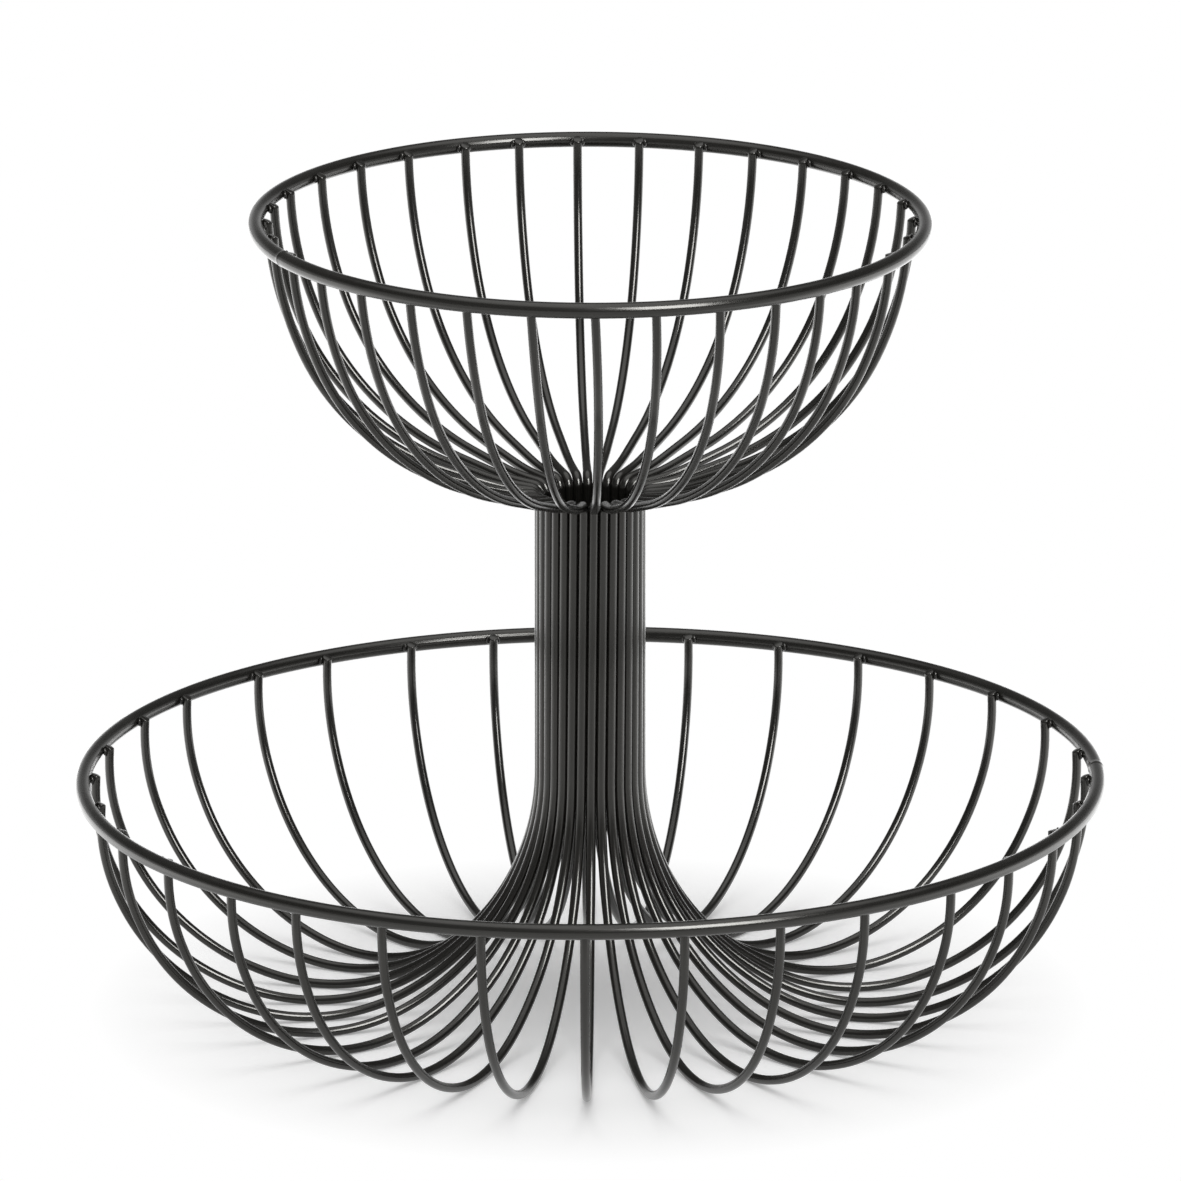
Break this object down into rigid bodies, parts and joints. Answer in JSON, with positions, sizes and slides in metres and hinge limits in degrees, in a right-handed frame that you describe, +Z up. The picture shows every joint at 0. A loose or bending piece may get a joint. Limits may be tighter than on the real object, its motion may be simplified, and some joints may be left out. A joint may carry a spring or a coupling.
{
  "type": "tiered wire basket",
  "caption": "Two-tier round wire basket: a small bowl above a large dish, joined by a slim column of the same bent wires.",
  "frame": {"origin": "on the table, on the axis of the column, under the middle of the basket", "axes": "+Z up along the column's axis; +X lies along the first rib wire, to the right of the picture; +Y points to the back"},
  "size_m": [0.3799, 0.38, 0.3029],
  "materials": {
    "black_coat": "satin black powder coat on steel wire"
  },
  "bodies": {
    "root": {"rib_wire_01": "black_coat", "rib_wire_02": "black_coat", "rib_wire_03": "black_coat", "rib_wire_04": "black_coat", "rib_wire_05": "black_coat", "rib_wire_06": "black_coat", "rib_wire_07": "black_coat", "rib_wire_08": "black_coat", "rib_wire_09": "black_coat", "rib_wire_10": "black_coat", "rib_wire_11": "black_coat", "rib_wire_12": "black_coat", "rib_wire_13": "black_coat", "rib_wire_14": "black_coat", "rib_wire_15": "black_coat", "rib_wire_16": "black_coat", "rib_wire_17": "black_coat", "rib_wire_18": "black_coat", "rib_wire_19": "black_coat", "rib_wire_20": "black_coat", "rib_wire_21": "black_coat", "rib_wire_22": "black_coat", "rib_wire_23": "black_coat", "rib_wire_24": "black_coat", "rib_wire_25": "black_coat", "rib_wire_26": "black_coat", "rib_wire_27": "black_coat", "rib_wire_28": "black_coat", "rib_wire_29": "black_coat", "rib_wire_30": "black_coat", "rib_wire_31": "black_coat", "rib_wire_32": "black_coat", "upper_rim": "black_coat", "lower_rim": "black_coat", "upper_inner_ring": "black_coat", "lower_inner_ring": "black_coat", "upper_rim_welds": "black_coat", "lower_rim_welds": "black_coat", "upper_inner_ring_welds": "black_coat", "lower_inner_ring_welds": "black_coat"}
  },
  "joints": []
}
